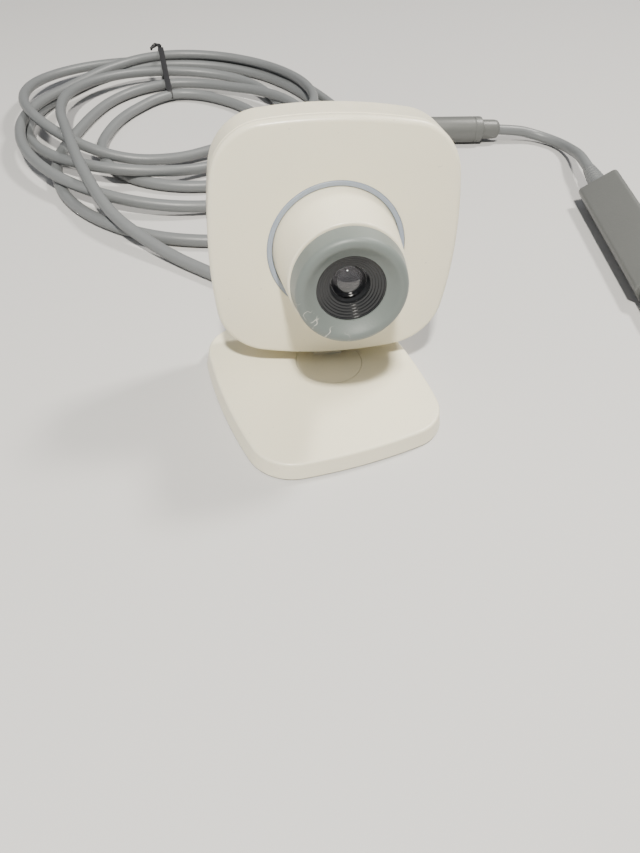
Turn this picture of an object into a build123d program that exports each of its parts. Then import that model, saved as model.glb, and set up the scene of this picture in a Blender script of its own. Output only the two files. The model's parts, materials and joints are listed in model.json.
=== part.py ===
"""A small web camera: a squircle head on a short neck that tilts and swivels on a thin weighted foot.

Millimetres. The origin is the middle of the foot's underside, +Z is up and the foot's front faces -Y.
The head stands as it was left: turned a little to one side and tipped back.
"""

from build123d import *
from math import atan, cos, degrees, pi, radians, sin, sqrt, tan
import os

# ---- Driving dimensions ------------------------------------------------------------------------
# Fits and gaps
slip = 0.05            # radial play of a turning or sliding fit
ease = 0.15            # gap round a piece that is dropped into place
thread_play = 0.02     # play left round a screw's shank

# Foot
foot_width = 55.8
foot_depth = 59.6
foot_height = 5.0
foot_side_radius = 140.0
foot_corner_radius = 12.0
foot_lean = 0.8        # how far the side wall leans in over its height
foot_wall = 1.6
foot_roof = 1.4
foot_edge_round = 0.7
pad_thickness = 0.6
pad_inset = 3.0
plate_thickness = 0.8
cover_lift = 0.5       # the cover's rim stands this far off the table
ballast_inset = 5.0
foot_post_margin_x = 8.4  # the screws stand this far in from the foot's sides
foot_post_margin_y = 9.3
foot_post_radius = 2.4

# Swivel
swivel_x = 4.5
swivel_y = 5.0
turntable_radius = 9.1
turntable_thickness = 1.45
turntable_gap = 0.1
spigot_step = 1.5      # the spigot is this much smaller than the turntable
swivel_floor = 1.1     # thickness of the ledge that the turntable rides on
boss_wall = 1.9        # wall round the turntable's recess
clip_thickness = 0.5
clip_bite = 0.7        # how deep the clip sits in the spigot
clip_reach = 1.6       # the clip stands out from the spigot by this much

# Head
head_width = 62.0
head_tall = 61.4
head_side_radius = 125.0
head_corner_radius = 14.0
head_wall = 1.8
head_rear_depth = 12.0
head_rear_round = 3.0
head_front_round = 1.4
face_apex = 4.85       # height of the crowned face above the seam, on the nose axis
face_crown_radius = 230.0
seam_gap = 0.3
seam_chamfer = 0.25
lip_depth = 1.6
lip_wall = 0.8
lip_play = 0.1
shell_post_margin_x = 10.5  # the shell screws stand this far in from the head's sides
shell_post_margin_y = 10.2
shell_post_radius = 2.6

# How the head stands
head_yaw = -14.0
head_tilt = 7.0
head_setback = 5.45

# Tilt hinge
pin_height = 15.6
pin_inset = 7.3        # the pin lies this far above the head's lower edge
pin_setback = 5.5
pin_radius = 1.25
tongue_width = 8.0
tongue_thickness = 4.8
ear_thickness = 3.0
ear_radius = 3.4
washer_thickness = 0.5
washer_radius = 2.9
lead_radius = 1.0
lead_bore = 1.2
lead_exit_height = 11.0

# Nose, light ring and focus ring, given as radius and height above the seam
nose_base_radius = 15.7
nose_tip_radius = 13.9
nose_tip = 20.6
nose_wall = 1.5
nose_flange_top = 0.8
nose_flange_thickness = 1.2
nose_flange_margin = 0.1
nose_ear_reach = 2.15  # the nose screws stand this far outside the flange
nose_ear_radius = 2.3
ring_width = 1.35
ring_top = 4.35
ring_flange_width = 1.35
ring_flange_thickness = 1.0
light_leg_offset = 1.5  # from the nose's base
light_leg_size = 2.0
tip_round = 0.6
bearing_radius = 11.0
bearing_length = 4.9
bearing_lead_in = 0.4
grip_radius_back = 13.45
grip_radius_front = 12.9
grip_chamfer = 0.5
grip_shoulder = 1.4    # the rounding over the crest starts this far behind it
grip_back = 20.9
grip_front = 26.7
grip_crest_radius = 11.7
snap_bite = 0.5        # how far the hub's hooks reach behind the bearing
snap_length = 1.0
hub_slit = 1.2         # slits that let the hooks spring in
hole_radius = 8.0
hole_depth = 2.05      # the hole's rim lies this far behind the grip's crest
hub_wall = 2.0
bezel_top = 24.2
bezel_floor = 22.2
bezel_eye_radius = 4.9
bezel_eye_thickness = 0.6
bezel_rim = 0.3        # the last step stays this far inside the hole
bezel_steps = 3

# Lens
barrel_radius = 6.0
barrel_rear = 3.5
barrel_shoulder = 14.2
barrel_flange_top = 16.0
barrel_gap = 0.4       # room between the barrel and the bezel for the lens's travel
barrel_rim = 1.2       # wall round the front lens
aperture_radius = 2.6
lens_radius = 5.0
lens_sink = 1.0        # the lens's shoulder lies this far inside the barrel's rim
lens_body = 1.8
lens_dome_radius = 4.0
lens_rise = 2.1
retainer_inner = 4.1
rear_lens_radius = 4.2
rear_lens_back = 6.0
rear_lens_thickness = 4.0
rear_lens_bulge = 0.6
drive_key_width = 1.8
drive_key_gap = 0.5
drive_key_bite = 0.5    # how deep the keys reach into the barrel's flange
mount_size = 16.0
mount_base_top = 2.0
mount_tube_radius = 7.6
mount_tube_top = 13.0
mount_window = 3.6     # opening under the filter

# Board
board_width = 40.0
board_tall = 28.0
board_thickness = 1.2
board_front = -2.6
board_post_x = 17.6
board_post_y = 11.2
board_post_radius = 2.0
sensor_size = 7.0
sensor_thickness = 0.9
filter_size = 8.8
filter_thickness = 0.4
filter_sink = 1.5      # the filter's back lies this far down in the mount's base
led_height = 0.8

# Screws
shell_screw_radius = 1.0
shell_screw_head = 1.9
small_screw_radius = 0.8
small_screw_head = 1.6

# Cord and what is on it
cord_radius = 2.1
gland_x = -5.0
gland_z = 2.45
gland_half_width = 2.55
gland_half_height = 1.75
gland_flange_half_width = 4.4
gland_flange_thickness = 1.8
relief_end_radius = 2.3
relief_length = 6.5
wire_radius = 0.45
coil_centre = (11.0, 167.0)
coil_half_width = 74.0
coil_half_depth = 89.0
coil_eye_centre = (12.0, 178.0)
coil_eye_half_width = 40.0
coil_eye_half_depth = 28.0
coil_bottom = 0.8
coil_top = 13.5
tie_x = 12.2
tie_width = 3.4
tie_thickness = 0.6
tie_slack = 0.2
ferrite_radius = 5.3
ferrite_length = 28.0
ferrite_gap = 6.6            # from the collar's end to the cord's next corner
ferrite_collar_radius = 4.0
ferrite_collar_length = 8.0
ferrite_core_radius = 4.4
ferrite_end_wall = 2.5
plug_corner = (138.4, 63.9)  # the corner of the plug's body that rests on the table
plug_heading = -111.05       # degrees from +X, from the cord towards the plug's tip
plug_roll = 38.0             # the plug leans on one long edge
plug_width = 15.4
plug_thickness = 8.6
plug_length = 66.0
plug_relief_length = 15.0
plug_relief_radius = 3.7
plug_straight = 11.0         # the cord's last run, in line with the plug
usb_width = 12.0
usb_height = 4.5
usb_length = 11.8
usb_wall = 0.35
usb_depth = 9.0              # length of the metal shell inside the plug's body
usb_base = 1.0               # floor at the shell's inner end
usb_hole = 2.2               # two square holes in each wide face
usb_hole_place = 5.5
usb_tongue_thickness = 1.8
usb_tongue_setback = 0.5
usb_contact_width = 1.0
usb_contact_thickness = 0.2

# Routes: corners of straight runs that arcs join
cord_from_foot_points = [
    (gland_x, foot_depth / 2 + relief_length, gland_z),
    (gland_x, 44.6, gland_z),
    (-8.4, 53.6, 2.25),
    (-14.6, 61.9, 2.2),
    (-21.8, 72.0, 2.4),
    (-29.4, 83.4, 4.2),
    (-36.0, 95.2, 6.4),
    (-39.4, 106.0, 8.6),
]
cord_tail_points = [
    (76.0, 147.5, 2.8),
    (91.5, 136.0, ferrite_radius),  # this run goes straight through the ferrite sleeve
    (142.1, 123.8, ferrite_radius),
    (153.0, 120.2, 3.0),
    (159.2, 110.6, 2.5),
    (157.6, 99.6, 4.2),
]

os.makedirs("parts", exist_ok=True)

# ---- Places and radii that follow from the sizes above -----------------------------------------
foot_post_x = foot_width / 2 - foot_post_margin_x
foot_post_y = foot_depth / 2 - foot_post_margin_y
spigot_radius = turntable_radius - spigot_step
boss_radius = turntable_radius + boss_wall
clip_radius = spigot_radius + clip_reach
head_height = pin_height + head_tall / 2 - pin_inset
shell_post_x = head_width / 2 - shell_post_margin_x
shell_post_y = head_tall / 2 - shell_post_margin_y
ring_outer_radius = nose_base_radius + ring_width
ring_flange_radius = ring_outer_radius + ring_flange_width
nose_flange_radius = ring_flange_radius + nose_flange_margin
light_leg_radius = nose_base_radius + light_leg_offset
nose_ear = (nose_flange_radius + nose_ear_reach) / sqrt(2)  # sideways and up from the nose axis
bezel_radius = bearing_radius - hub_wall
barrel_top = bezel_floor - barrel_gap
lens_shoulder = barrel_top - lens_sink
lens_seat = lens_shoulder - lens_body
lens_apex = lens_shoulder + lens_rise
drive_key_inner = lens_radius + barrel_rim + drive_key_gap
barrel_flange_radius = drive_key_inner + drive_key_bite

# ---- Frames ------------------------------------------------------------------------------------
right = Vector(1, 0, 0).rotate(Axis.Z, head_yaw)
back = Vector(0, 1, 0).rotate(Axis.Z, head_yaw)
up = Vector(0, 0, 1)
outward = back * -cos(radians(head_tilt)) + up * sin(radians(head_tilt))
swivel_centre = Vector(swivel_x, swivel_y, 0)
head_centre = swivel_centre + back * head_setback + up * head_height
pin_centre = swivel_centre + back * pin_setback + up * pin_height

SWIVEL = Plane(origin=swivel_centre, x_dir=right, z_dir=up)
TONGUE_SIDE = Plane(origin=swivel_centre, x_dir=back, z_dir=right)
SEAM = Plane(origin=head_centre, x_dir=right, z_dir=outward)
NOSE_SECTION = Plane(origin=head_centre, x_dir=right, z_dir=right.cross(outward))
nose_axis = Axis(head_centre, outward)
pin_in_head = SEAM.to_local_coords(pin_centre)


def head_plane(height):
    """A plane across the nose axis, this far in front of the seam."""
    return SEAM.offset(height)


def head_side_plane(sideways):
    """A plane on edge beside the hinge: its x is the head's depth forwards, its y is up."""
    depth, upright = outward, SEAM.y_dir
    return Plane(origin=head_centre + right * sideways, x_dir=depth, z_dir=depth.cross(upright))


def squircle(width, tall, side_radius, corner_radius, inset=0.0):
    """Four bowed sides and four round corners, all tangent; inset draws it smaller all round."""
    half_width, half_tall = width / 2, tall / 2
    side_centre = Vector(half_width - side_radius, 0)
    top_centre = Vector(0, half_tall - side_radius)
    between = top_centre - side_centre
    reach = side_radius - corner_radius
    rise = sqrt(reach**2 - (between.length / 2) ** 2)
    square_to = Vector(-between.Y, between.X).normalized()
    if square_to.X < 0:
        square_to = square_to * -1
    corner_centre = (side_centre + top_centre) * 0.5 + square_to * rise
    from_side = (corner_centre - side_centre).normalized()
    from_top = (corner_centre - top_centre).normalized()
    bisector = (from_side + from_top).normalized()
    on_side = side_centre + from_side * (side_radius - inset)
    on_top = top_centre + from_top * (side_radius - inset)
    on_corner = corner_centre + bisector * (corner_radius - inset)
    side_middle, top_middle = half_width - inset, half_tall - inset
    with BuildSketch() as shape:
        with BuildLine():
            for x in (1, -1):
                ThreePointArc(
                    (x * on_side.X, -on_side.Y), (x * side_middle, 0), (x * on_side.X, on_side.Y)
                )
            for y in (1, -1):
                ThreePointArc(
                    (-on_top.X, y * on_top.Y), (0, y * top_middle), (on_top.X, y * on_top.Y)
                )
            for x, y in ((1, 1), (-1, 1), (-1, -1), (1, -1)):
                ThreePointArc(
                    (x * on_side.X, y * on_side.Y),
                    (x * on_corner.X, y * on_corner.Y),
                    (x * on_top.X, y * on_top.Y),
                )
        make_face()
    return shape.sketch


def foot_outline(inset=0.0):
    return squircle(foot_width, foot_depth, foot_side_radius, foot_corner_radius, inset)


def head_outline(inset=0.0):
    return squircle(head_width, head_tall, head_side_radius, head_corner_radius, inset)


def turned(*profile):
    """A sketch of radius and height points, to revolve about the nose axis."""
    with BuildSketch() as shape:
        with BuildLine():
            Polyline(*profile, close=True)
        make_face()
    return shape.sketch


def crown_height(radius, below=0.0):
    """Height of the crowned face, or of a face below it, at a radius from the nose axis."""
    sphere = face_crown_radius - below
    return face_apex - face_crown_radius + sqrt(sphere**2 - radius**2)


def four_corners(x, y):
    return [(x, y), (-x, y), (-x, -y), (x, -y)]


def keep(piece, name):
    """Label a finished piece and write it."""
    piece.part.label = name
    export_step(piece.part, f"parts/{name}.step")


# ---- Foot --------------------------------------------------------------------------------------
plate_top = pad_thickness + plate_thickness
roof_under = foot_height - foot_roof
turntable_bottom = foot_height - turntable_thickness
ledge_top = turntable_bottom - slip
ledge_bottom = ledge_top - swivel_floor
foot_draft = degrees(atan(foot_lean / (foot_height - cover_lift)))
foot_inner_inset = foot_wall + foot_lean
foot_posts = four_corners(foot_post_x, foot_post_y)
foot_screw_tip = roof_under + small_screw_radius / 2
wall_inside = foot_depth / 2 - foot_inner_inset
# the rear wall is bowed, so it comes forward beside the flange's far corner
wall_bow = (abs(gland_x) + gland_flange_half_width) ** 2 / (2 * (foot_side_radius - foot_inner_inset))
flange_front = wall_inside - wall_bow - gland_flange_thickness - ease

with BuildPart() as foot_cover:
    with BuildSketch(Plane.XY.offset(cover_lift)):
        add(foot_outline())
    extrude(amount=foot_height - cover_lift, taper=foot_draft)
    fillet(foot_cover.faces().sort_by(Axis.Z)[-1].edges(), foot_edge_round)
    with BuildSketch(Plane.XY.offset(cover_lift)):
        add(foot_outline(foot_inner_inset))
    extrude(amount=roof_under - cover_lift, mode=Mode.SUBTRACT)
    with BuildSketch(Plane.XY.offset(ledge_bottom)):
        with Locations((swivel_x, swivel_y)):
            Circle(boss_radius)
    extrude(amount=foot_height - foot_edge_round - ledge_bottom)
    with BuildSketch(Plane.XY.offset(plate_top)):
        with Locations(*foot_posts):
            Circle(foot_post_radius)
    extrude(amount=roof_under - plate_top + 0.2)
    with BuildSketch(Plane.XY.offset(ledge_top)):
        with Locations((swivel_x, swivel_y)):
            Circle(turntable_radius + turntable_gap)
    extrude(amount=foot_height, mode=Mode.SUBTRACT)
    with BuildSketch(Plane.XY.offset(ledge_bottom)):
        with Locations((swivel_x, swivel_y)):
            Circle(spigot_radius + slip)
    extrude(amount=foot_height, mode=Mode.SUBTRACT)
    with BuildSketch(Plane.XY.offset(plate_top)):
        with Locations(*foot_posts):
            Circle(small_screw_radius + thread_play)
    extrude(amount=foot_screw_tip + slip - plate_top, mode=Mode.SUBTRACT)
    with BuildSketch(Plane.XZ.offset(-foot_depth / 2 - 1)):
        with Locations((gland_x, gland_z - foot_height / 2)):
            Rectangle(2 * gland_half_width + 2 * slip, 2 * gland_half_height + foot_height + 2 * slip)
    extrude(amount=foot_depth / 2 + 1 - flange_front + slip, mode=Mode.SUBTRACT)
keep(foot_cover, "foot_cover")

with BuildPart() as foot_plate:
    with BuildSketch(Plane.XY.offset(pad_thickness)):
        add(foot_outline(foot_inner_inset + ease))
        with Locations((gland_x, foot_depth / 2)):
            Rectangle(2 * gland_half_width + 2 * ease, 12, mode=Mode.SUBTRACT)
    extrude(amount=plate_thickness)
    with Locations(*[(x, y, pad_thickness) for x, y in foot_posts]):
        with Locations(Rotation(180, 0, 0)):
            CounterSinkHole(
                small_screw_radius + thread_play, small_screw_head + thread_play, depth=plate_thickness
            )
keep(foot_plate, "foot_plate")

with BuildPart() as foot_pad:
    with BuildSketch():
        add(foot_outline(pad_inset))
    extrude(amount=pad_thickness)
    chamfer(foot_pad.faces().sort_by(Axis.Z)[0].edges(), pad_thickness / 3)
keep(foot_pad, "foot_pad")

with BuildPart() as foot_ballast:
    with BuildSketch(Plane.XY.offset(plate_top)):
        add(foot_outline(ballast_inset))
        with Locations((swivel_x, swivel_y)):
            Circle(boss_radius + ease, mode=Mode.SUBTRACT)
        with Locations(*foot_posts):
            Circle(foot_post_radius + ease, mode=Mode.SUBTRACT)
        with Locations((gland_x, foot_depth / 2)):
            Rectangle(
                2 * gland_flange_half_width + 2 * ease,
                2 * (foot_depth / 2 - swivel_y),
                mode=Mode.SUBTRACT,
            )
    extrude(amount=roof_under - plate_top - ease)
keep(foot_ballast, "foot_ballast")

with BuildPart() as foot_screws:
    for x, y in foot_posts:
        with BuildSketch(Plane((x, y, 0), x_dir=(1, 0, 0), z_dir=(0, -1, 0))):
            add(
                turned(
                    (0, pad_thickness),
                    (small_screw_head, pad_thickness),
                    (small_screw_radius, pad_thickness + small_screw_head - small_screw_radius),
                    (small_screw_radius, roof_under),
                    (0, foot_screw_tip),
                )
            )
        revolve(axis=Axis((x, y, 0), (0, 0, 1)))
keep(foot_screws, "foot_screws")

# ---- Neck and swivel ---------------------------------------------------------------------------
spigot_bottom = plate_top + 0.15
clip_top = ledge_bottom - slip
clip_bottom = clip_top - clip_thickness

with BuildPart() as neck:
    with BuildSketch(SWIVEL.offset(turntable_bottom)):
        Circle(turntable_radius)
    extrude(amount=turntable_thickness)
    with BuildSketch(SWIVEL.offset(spigot_bottom)):
        Circle(spigot_radius)
    extrude(amount=turntable_bottom - spigot_bottom)
    with BuildSketch(SWIVEL.offset(clip_bottom - thread_play)):
        Circle(spigot_radius)
        Circle(spigot_radius - clip_bite, mode=Mode.SUBTRACT)
    extrude(amount=clip_thickness + 2 * thread_play, mode=Mode.SUBTRACT)
    with BuildSketch(TONGUE_SIDE):
        with Locations((pin_setback, (pin_height + turntable_bottom) / 2)):
            Rectangle(tongue_thickness, pin_height - turntable_bottom)
        with Locations((pin_setback, pin_height)):
            Circle(tongue_thickness / 2)
    extrude(amount=tongue_width / 2, both=True)
    with BuildSketch(TONGUE_SIDE):
        with Locations((pin_setback, pin_height)):
            Circle(pin_radius + slip)
    extrude(amount=tongue_width, both=True, mode=Mode.SUBTRACT)
    with BuildSketch(SWIVEL.offset(spigot_bottom)):
        with Locations((0, pin_setback)):
            Circle(lead_bore)
    extrude(amount=lead_exit_height + lead_bore - spigot_bottom, mode=Mode.SUBTRACT)
    with BuildSketch(SWIVEL.offset(lead_exit_height - 2.2 * lead_bore)):
        with Locations((0, pin_setback + tongue_thickness / 2)):
            Rectangle(2 * lead_bore, tongue_thickness)
    extrude(amount=3.2 * lead_bore, mode=Mode.SUBTRACT)
keep(neck, "neck")

with BuildPart() as swivel_clip:
    with BuildSketch(SWIVEL.offset(clip_bottom)):
        Circle(clip_radius)
        Circle(spigot_radius - clip_bite + thread_play, mode=Mode.SUBTRACT)
        with Locations((0, -clip_radius)):
            Rectangle(1.4 * spigot_radius, 2 * (clip_radius - 4), mode=Mode.SUBTRACT)
    extrude(amount=clip_thickness)
keep(swivel_clip, "swivel_clip")

with BuildPart() as neck_lead:
    with BuildLine() as lead_route:
        FilletPolyline(
            SWIVEL.from_local_coords(Vector(0, pin_setback, spigot_bottom)),
            SWIVEL.from_local_coords(Vector(0, pin_setback, lead_exit_height)),
            SWIVEL.from_local_coords(Vector(0, pin_setback + tongue_thickness / 2, lead_exit_height)),
            radius=1.5 * lead_radius,
        )
    with BuildSketch(SWIVEL.offset(spigot_bottom)):
        with Locations((0, pin_setback)):
            Circle(lead_radius)
    sweep(path=lead_route.wires()[0])
keep(neck_lead, "neck_lead")

# ---- Head shells -------------------------------------------------------------------------------
half_seam = seam_gap / 2
crown_reach = head_width  # past the furthest corner of the face
inner_tall = head_tall / 2 - head_wall
shell_posts = four_corners(shell_post_x, shell_post_y)
nose_posts = four_corners(nose_ear, nose_ear)
board_posts = four_corners(board_post_x, board_post_y)
shell_split = -6.0        # where a front post meets its rear post, below the seam
nose_flange_bottom = nose_flange_top - nose_flange_thickness
corner_reach = Vector(head_width / 2, head_tall / 2).length - (sqrt(2) - 1) * head_corner_radius
# the round at the face's edge leaves some of the side wall at the corners, where it is lowest
corner_wall = crown_height(corner_reach) - half_seam - seam_chamfer
front_round = min(head_front_round, 1.1 * corner_wall)


def crown_solid(below=0.0):
    """What lies under the crowned face, or under a face that is this far below it."""
    top = face_apex - below
    with BuildPart() as under:
        with BuildSketch(NOSE_SECTION):
            with BuildLine():
                Line((0, -head_rear_depth), (0, top))
                ThreePointArc(
                    (0, top),
                    (crown_reach / 2, crown_height(crown_reach / 2, below)),
                    (crown_reach, crown_height(crown_reach, below)),
                )
                Line(
                    (crown_reach, crown_height(crown_reach, below)), (crown_reach, -head_rear_depth)
                )
                Line((crown_reach, -head_rear_depth), (0, -head_rear_depth))
            make_face()
        revolve(axis=nose_axis)
    return under.part


with BuildPart() as front_hollow:
    with BuildSketch(head_plane(-lip_depth - 1)):
        add(head_outline(head_wall))
    extrude(amount=lip_depth + 1 + face_apex)
    add(crown_solid(head_wall), mode=Mode.INTERSECT)

with BuildPart() as front_shell:
    with BuildSketch(head_plane(half_seam)):
        add(head_outline())
    extrude(amount=face_apex)
    add(crown_solid(), mode=Mode.INTERSECT)
    fillet(front_shell.faces().sort_by(nose_axis)[-1].edges(), front_round)
    chamfer(front_shell.faces().sort_by(nose_axis)[0].edges(), seam_chamfer)
    add(front_hollow.part, mode=Mode.SUBTRACT)
    with BuildSketch(head_plane(-lip_depth)):
        add(head_outline(head_wall - lip_wall))
        add(head_outline(head_wall), mode=Mode.SUBTRACT)
        with Locations((0, -head_tall / 2)):
            Rectangle(tongue_width + 4, 3 * head_wall, mode=Mode.SUBTRACT)
    extrude(amount=lip_depth + half_seam)
    for spots, post_radius, bottom in (
        (shell_posts, shell_post_radius, shell_split),
        (nose_posts, small_screw_head, nose_flange_top),
        (board_posts, board_post_radius, board_front),
    ):
        for x, y in spots:
            with BuildSketch(head_plane(bottom)):
                with Locations((x, y)):
                    Circle(post_radius)
            extrude(amount=crown_height(Vector(x, y).length, head_wall) + head_wall / 2 - bottom)
    with BuildSketch(head_plane(-lip_depth)):
        Circle(ring_outer_radius + slip)
    extrude(amount=2 * face_apex, mode=Mode.SUBTRACT)
    for spots, hole, bottom, depth in (
        (shell_posts, shell_screw_radius, shell_split, 6.0),
        (nose_posts, small_screw_radius, nose_flange_top, 1.9),
        (board_posts, small_screw_radius, board_front, 4.0),
    ):
        with BuildSketch(head_plane(bottom)):
            with Locations(*spots):
                Circle(hole + thread_play)
        extrude(amount=depth, mode=Mode.SUBTRACT)
keep(front_shell, "front_shell")

screw_seat = -head_rear_depth + 3.4
slot_half_width = tongue_width / 2 + washer_thickness
ear_gap = washer_thickness + 2 * slip
rear_inner = head_rear_depth - head_wall

with BuildPart() as rear_shell:
    with BuildSketch(head_plane(-half_seam)):
        add(head_outline())
    extrude(amount=-(head_rear_depth - half_seam))
    fillet(rear_shell.faces().sort_by(nose_axis)[0].edges(), head_rear_round)
    chamfer(rear_shell.faces().sort_by(nose_axis)[-1].edges(), seam_chamfer)
    with BuildSketch(head_plane(-half_seam)):
        add(head_outline(head_wall))
    extrude(amount=-(rear_inner - half_seam), mode=Mode.SUBTRACT)
    with BuildSketch(head_plane(-half_seam)):
        add(head_outline(head_wall - lip_wall - lip_play))
    extrude(amount=-(lip_depth + ease - half_seam), mode=Mode.SUBTRACT)
    with BuildSketch(head_plane(shell_split)):
        with Locations(*shell_posts):
            Circle(shell_post_radius)
    extrude(amount=-(rear_inner + shell_split + head_wall / 2))
    for side in (1, -1):
        with BuildSketch(head_side_plane(side * (tongue_width / 2 + ear_gap))):
            with Locations((pin_in_head.Z, pin_in_head.Y)):
                Circle(ear_radius)
            with BuildLine():
                Polyline(
                    (pin_in_head.Z + ear_radius, pin_in_head.Y),
                    (pin_in_head.Z - ear_radius, pin_in_head.Y),
                    (-rear_inner - head_wall / 3, pin_in_head.Y - ear_radius),
                    (-rear_inner - head_wall / 3, -inner_tall - head_wall / 3),
                    (-lip_depth - 2 * ease, -inner_tall - head_wall / 3),
                    close=True,
                )
            make_face()
        # head_side_plane faces the head's left
        extrude(amount=-side * ear_thickness)
    with BuildSketch(head_side_plane(0)):
        with Locations((pin_in_head.Z, pin_in_head.Y)):
            Circle(pin_radius + thread_play)
    extrude(amount=head_width / 3, both=True, mode=Mode.SUBTRACT)
    with BuildSketch(head_plane(-half_seam)):
        with Locations((0, -head_tall / 2)):
            Rectangle(2 * slot_half_width, 2 * (head_wall + 1.0))
    extrude(amount=-head_rear_depth, mode=Mode.SUBTRACT)
    with BuildSketch(head_plane(screw_seat)):
        with Locations(*shell_posts):
            Circle(shell_screw_head + thread_play)
    extrude(amount=-head_rear_depth, mode=Mode.SUBTRACT)
    with BuildSketch(head_plane(shell_split)):
        with Locations(*shell_posts):
            Circle(shell_screw_radius + thread_play)
    extrude(amount=-head_rear_depth, mode=Mode.SUBTRACT)
keep(rear_shell, "rear_shell")


def screws(spots, seat, shank_radius, head_radius, shank_length, head_thickness):
    """Pan-head screws whose heads sit behind the seat and whose shanks point forwards."""
    with BuildPart() as group:
        with BuildSketch(head_plane(seat)):
            with Locations(*spots):
                Circle(head_radius)
        extrude(amount=-head_thickness)
        fillet(group.edges().group_by(nose_axis)[0], head_thickness / 3)
        with BuildSketch(head_plane(seat)):
            with Locations(*spots):
                Circle(shank_radius)
        extrude(amount=shank_length)
        with BuildSketch(head_plane(seat - head_thickness)):
            with Locations(*spots):
                RegularPolygon(head_radius / 2, 6)
        extrude(amount=head_thickness / 2, mode=Mode.SUBTRACT)
    return group


shell_screws = screws(shell_posts, screw_seat, shell_screw_radius, shell_screw_head, 8.0, 1.3)
keep(shell_screws, "shell_screws")

# ---- Tilt hinge --------------------------------------------------------------------------------
with BuildPart() as tilt_pin:
    with BuildSketch(head_side_plane(0)):
        with Locations((pin_in_head.Z, pin_in_head.Y)):
            Circle(pin_radius)
    extrude(amount=tongue_width / 2 + ear_gap + ear_thickness, both=True)
keep(tilt_pin, "tilt_pin")

with BuildPart() as friction_washers:
    for side in (1, -1):
        with BuildSketch(head_side_plane(side * (tongue_width / 2 + slip))):
            with Locations((pin_in_head.Z, pin_in_head.Y)):
                Circle(washer_radius)
                Circle(pin_radius + slip, mode=Mode.SUBTRACT)
        extrude(amount=-side * washer_thickness)
keep(friction_washers, "friction_washers")

# ---- Nose and light ring -----------------------------------------------------------------------
bearing_back = nose_tip - bearing_length
with BuildPart() as nose_cone:
    with BuildSketch(NOSE_SECTION):
        add(
            turned(
                (nose_base_radius - nose_wall, nose_flange_bottom),
                (nose_flange_radius, nose_flange_bottom),
                (nose_flange_radius, nose_flange_top),
                (nose_base_radius, nose_flange_top),
                (nose_base_radius, ring_top - 1),
                (nose_tip_radius, nose_tip),
                (bearing_radius + bearing_lead_in, nose_tip),
                (bearing_radius, nose_tip - bearing_lead_in),
                (bearing_radius, bearing_back),
                (nose_tip_radius - nose_wall, bearing_back),
                (nose_base_radius - nose_wall, nose_flange_top),
            )
        )
    revolve(axis=nose_axis)
    tip_edges = nose_cone.edges().filter_by(GeomType.CIRCLE).group_by(nose_axis)[-1]
    fillet(tip_edges.sort_by(SortBy.RADIUS)[-1], tip_round)
    with BuildSketch(head_plane(nose_flange_bottom)):
        with Locations(*nose_posts):
            Circle(nose_ear_radius)
    extrude(amount=nose_flange_thickness)
    with BuildSketch(head_plane(nose_flange_bottom)):
        with Locations(*nose_posts):
            Circle(small_screw_radius + thread_play)
        with Locations((light_leg_radius, 0), (-light_leg_radius, 0)):
            Rectangle(light_leg_size + 2 * ease, light_leg_size + 1 + 2 * ease)
        with Locations((nose_flange_radius, 0), (-nose_flange_radius, 0)):
            Rectangle(light_leg_size, light_leg_size + 1 + 2 * ease)
    extrude(amount=nose_flange_thickness, mode=Mode.SUBTRACT)
keep(nose_cone, "nose_cone")

nose_screws = screws(nose_posts, nose_flange_bottom, small_screw_radius, small_screw_head, 2.6, 0.9)
keep(nose_screws, "nose_screws")

ring_bottom = nose_flange_top + slip
ring_inner_radius = nose_base_radius + slip
with BuildPart() as light_ring:
    with BuildSketch(NOSE_SECTION):
        add(
            turned(
                (ring_inner_radius, ring_bottom),
                (ring_flange_radius, ring_bottom),
                (ring_flange_radius, ring_bottom + ring_flange_thickness),
                (ring_outer_radius, ring_bottom + ring_flange_thickness),
                (ring_outer_radius, ring_top - 0.25),
                (ring_outer_radius - 0.25, ring_top),
                (ring_inner_radius + 0.2, ring_top),
                (ring_inner_radius, ring_top - 0.2),
            )
        )
    revolve(axis=nose_axis)
    with BuildSketch(head_plane(board_front + led_height + slip)):
        with Locations((light_leg_radius, 0), (-light_leg_radius, 0)):
            Rectangle(light_leg_size, light_leg_size + 1)
    extrude(amount=ring_bottom + ring_flange_thickness / 2 - board_front - led_height - slip)
keep(light_ring, "light_ring")

# ---- Focus ring --------------------------------------------------------------------------------
hole_height = grip_front - hole_depth
hub_radius = bearing_radius - slip
snap_radius = bearing_radius + snap_bite
snap_top = bearing_back - 0.3
snap_bottom = snap_top - snap_length
key_bottom = snap_bottom + 0.1
key_top = bezel_floor - 0.7

with BuildPart() as focus_grip:
    with BuildSketch(NOSE_SECTION):
        with BuildLine():
            Polyline(
                (hub_radius, grip_back),
                (grip_radius_back - grip_chamfer, grip_back),
                (grip_radius_back, grip_back + grip_chamfer),
                (grip_radius_front, grip_front - grip_shoulder),
            )
            Spline(
                (grip_radius_front, grip_front - grip_shoulder),
                (grip_crest_radius, grip_front),
                (hole_radius, hole_height),
                tangents=[(-0.1, 1), (-1, -0.55)],
            )
            Polyline(
                (hole_radius, hole_height),
                (hole_radius, bezel_top),
                (hub_radius, bezel_top),
                (hub_radius, grip_back),
            )
        make_face()
    revolve(axis=nose_axis)
keep(focus_grip, "focus_grip")

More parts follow.
